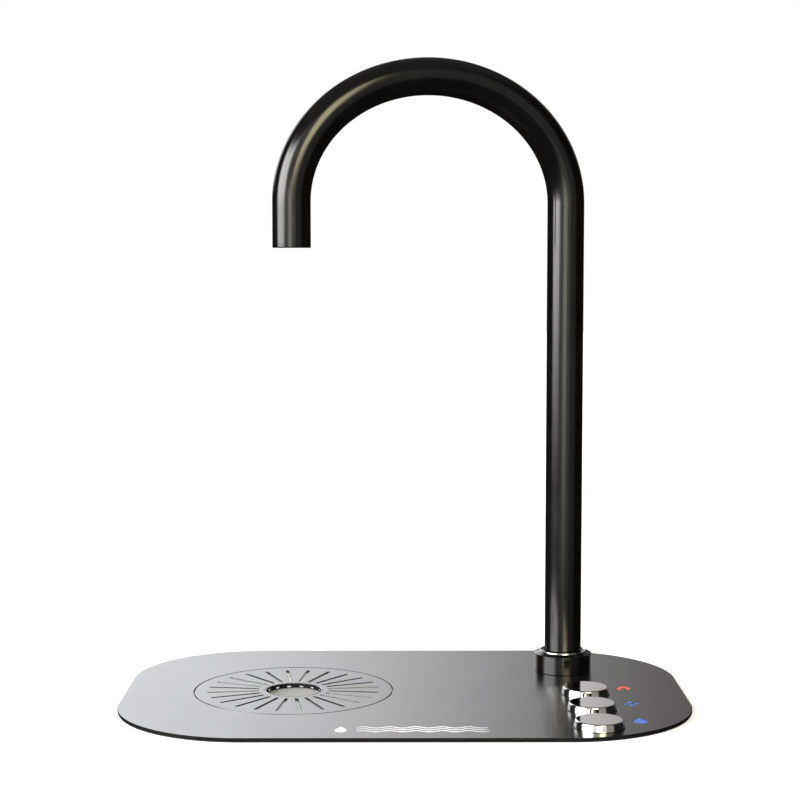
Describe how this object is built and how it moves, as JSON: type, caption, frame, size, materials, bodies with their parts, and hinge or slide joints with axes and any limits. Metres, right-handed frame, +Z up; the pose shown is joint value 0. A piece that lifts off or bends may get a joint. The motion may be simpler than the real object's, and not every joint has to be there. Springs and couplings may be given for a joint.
{
  "type": "water dispenser",
  "caption": "Flat deck plate with a round drip grate, a swivelling goose-neck spout, and push buttons beside lit icons for hot, sparkling and chilled water.",
  "frame": {"origin": "middle of the deck plate's outline, on the gasket's underside, which lies on the worktop", "axes": "+X to the right seen from the front, +Y away from the user, +Z up"},
  "size_m": [0.42, 0.277, 0.5682],
  "materials": {
    "deck_steel": "dark satin coated stainless plate, mirror-like at low angles",
    "gasket_foam": "matt black closed-cell gasket",
    "bowl_white": "translucent white moulded bowl that lets light through",
    "stainless": "fine brushed stainless steel",
    "spout_black": "satin black powder coat over steel",
    "chrome_cap": "mirror-polished chrome with a fine turned top",
    "trim_chrome": "polished trim ring",
    "black_plastic": "moulded black plastic, fine grain",
    "rubber_black": "soft black rubber",
    "acetal_white": "natural white acetal",
    "brass": "turned brass, dull",
    "zinc_steel": "zinc-plated steel",
    "board_green": "green solder-masked circuit board",
    "icon_red": "lit red acrylic window",
    "icon_blue": "lit blue acrylic window",
    "hose_white": "food-grade translucent white hose",
    "led_body": "white LED package"
  },
  "bodies": {
    "deck": {"deck_plate": "deck_steel", "deck_gasket": "gasket_foam", "drip_bowl": "bowl_white", "drain_spigot": "stainless", "drain_washer": "rubber_black", "drain_nut": "black_plastic", "spout_shank": "brass", "swivel_stop_pin": "zinc_steel", "thrust_washer": "acetal_white", "swivel_bush": "acetal_white", "spout_collar": "spout_black", "collar_trim_ring": "trim_chrome", "shank_rubber_washer": "rubber_black", "shank_steel_washer": "zinc_steel", "shank_nut": "brass", "control_housing": "black_plastic", "button_carrier": "acetal_white", "control_board": "board_green", "control_cover": "black_plastic", "cable_gland": "black_plastic", "gland_nut": "black_plastic", "clamp_stud_left": "zinc_steel", "clamp_nut_left": "black_plastic", "clamp_stud_front": "zinc_steel", "clamp_nut_front": "black_plastic", "cover_screw_1": "zinc_steel", "cover_screw_2": "zinc_steel", "cover_screw_3": "zinc_steel", "cover_screw_4": "zinc_steel", "button_spring_hot": "zinc_steel", "button_seal_hot": "rubber_black", "switch_hot": "black_plastic", "led_hot": "led_body", "icon_lens_hot": "icon_red", "button_spring_sparkling": "zinc_steel", "button_seal_sparkling": "rubber_black", "switch_sparkling": "black_plastic", "led_sparkling": "led_body", "icon_lens_sparkling": "icon_blue", "button_spring_chilled": "zinc_steel", "button_seal_chilled": "rubber_black", "switch_chilled": "black_plastic", "led_chilled": "led_body", "icon_lens_chilled": "icon_blue"},
    "spout": {"spout_tube": "spout_black", "spout_nozzle": "black_plastic", "hose_hot": "hose_white", "hose_sparkling": "hose_white", "hose_chilled": "hose_white"},
    "grate": {"grate_plate": "deck_steel", "grate_cup": "stainless"},
    "button_hot": {"button_cap_hot": "chrome_cap", "button_stem_hot": "acetal_white", "button_clip_hot": "zinc_steel"},
    "button_sparkling": {"button_cap_sparkling": "chrome_cap", "button_stem_sparkling": "acetal_white", "button_clip_sparkling": "zinc_steel"},
    "button_chilled": {"button_cap_chilled": "chrome_cap", "button_stem_chilled": "acetal_white", "button_clip_chilled": "zinc_steel"}
  },
  "joints": [
    {"name": "spout_swivel", "type": "hinge", "parent": "deck", "child": "spout", "pos_m": [0.1255, 0.0674, 0.2], "axis": [0, 0, 1], "range_deg": [-15, 15]},
    {"name": "grate_lift", "type": "slide", "parent": "deck", "child": "grate", "axis": [0, 0, 1], "range_m": [0, 0.06]},
    {"name": "hot_button_press", "type": "slide", "parent": "deck", "child": "button_hot", "axis": [0, 0, -1], "range_m": [0, 0.0025], "stiffness_N_per_m": 800, "springref_m": -0.003, "deforming": ["button_spring_hot"]},
    {"name": "sparkling_button_press", "type": "slide", "parent": "deck", "child": "button_sparkling", "axis": [0, 0, -1], "range_m": [0, 0.0025], "stiffness_N_per_m": 800, "springref_m": -0.003, "deforming": ["button_spring_sparkling"]},
    {"name": "chilled_button_press", "type": "slide", "parent": "deck", "child": "button_chilled", "axis": [0, 0, -1], "range_m": [0, 0.0025], "stiffness_N_per_m": 800, "springref_m": -0.003, "deforming": ["button_spring_chilled"]}
  ]
}
